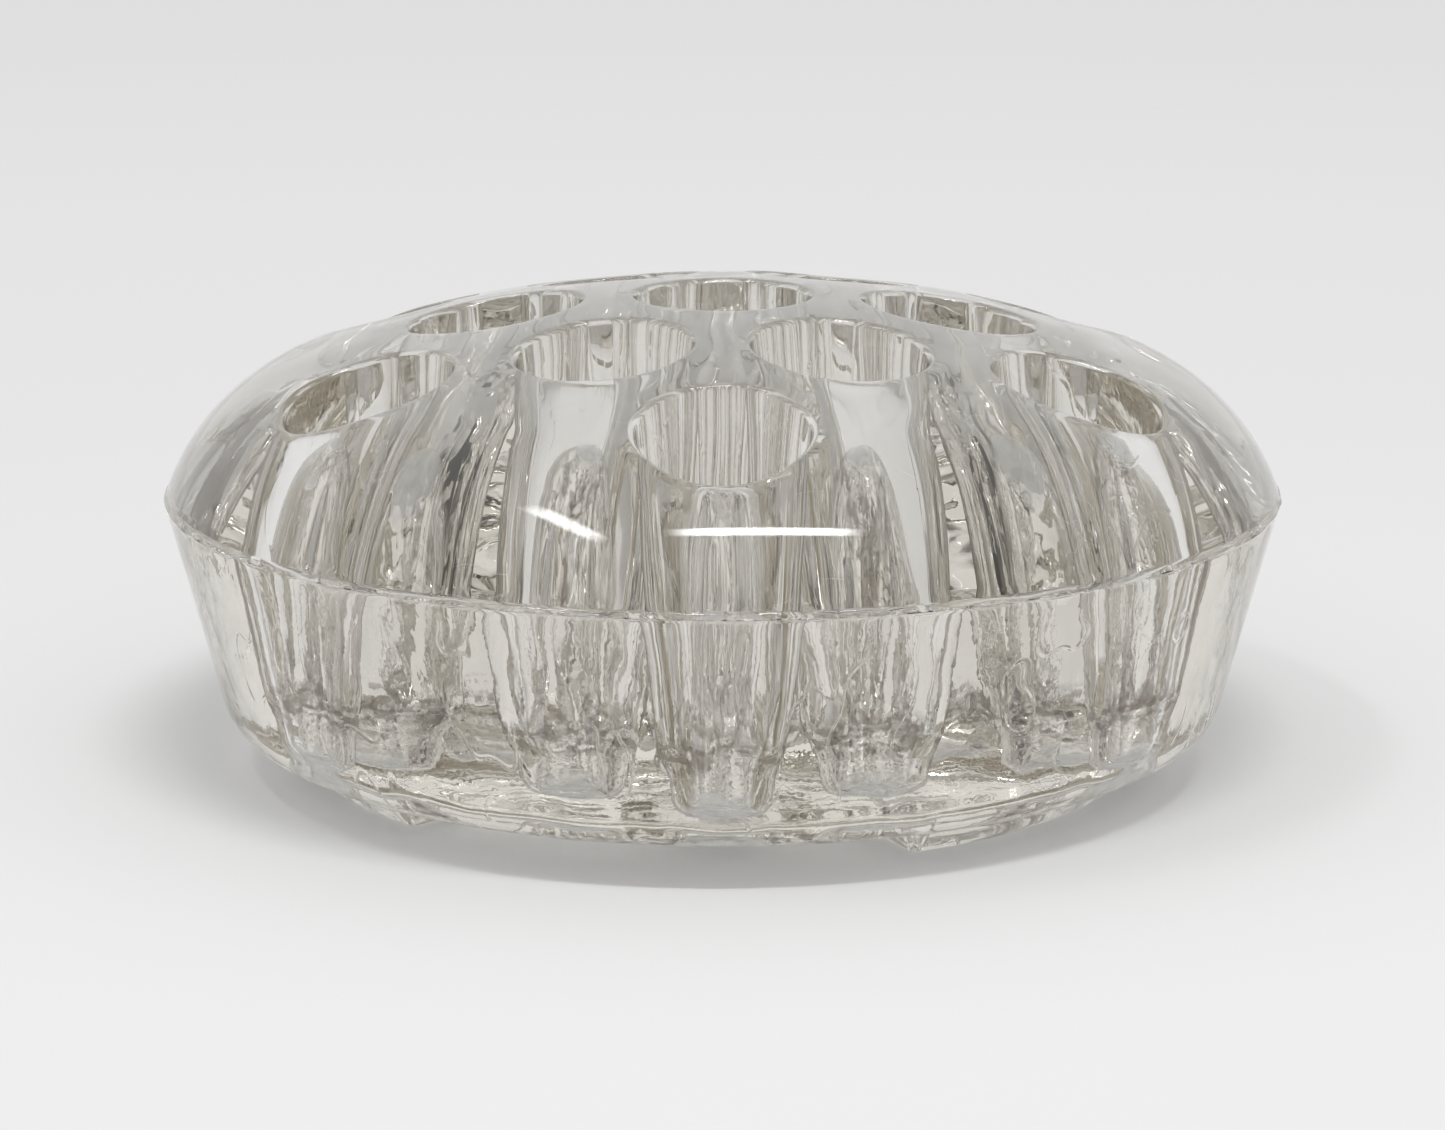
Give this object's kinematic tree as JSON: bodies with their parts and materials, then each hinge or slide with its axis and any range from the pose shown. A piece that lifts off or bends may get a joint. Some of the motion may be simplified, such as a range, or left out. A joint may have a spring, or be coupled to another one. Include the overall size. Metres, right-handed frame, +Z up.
{
  "type": "flower frog",
  "caption": "Round pressed-glass flower frog: a domed clear block with a hexagonal grid of blind, tapered stem holes, a mould seam round its widest part and low feet.",
  "frame": {"origin": "on the resting plane of the feet, under the middle of the block", "axes": "+Z up along the block's axis, out of the stem holes; -Y is the front, +X is right"},
  "size_m": [0.1016, 0.1016, 0.0424],
  "materials": {
    "clear_glass": "fire-polished pressed glass, clear with a faint warm-grey tint"
  },
  "bodies": {
    "root": {"glass_block": "clear_glass"}
  },
  "joints": []
}
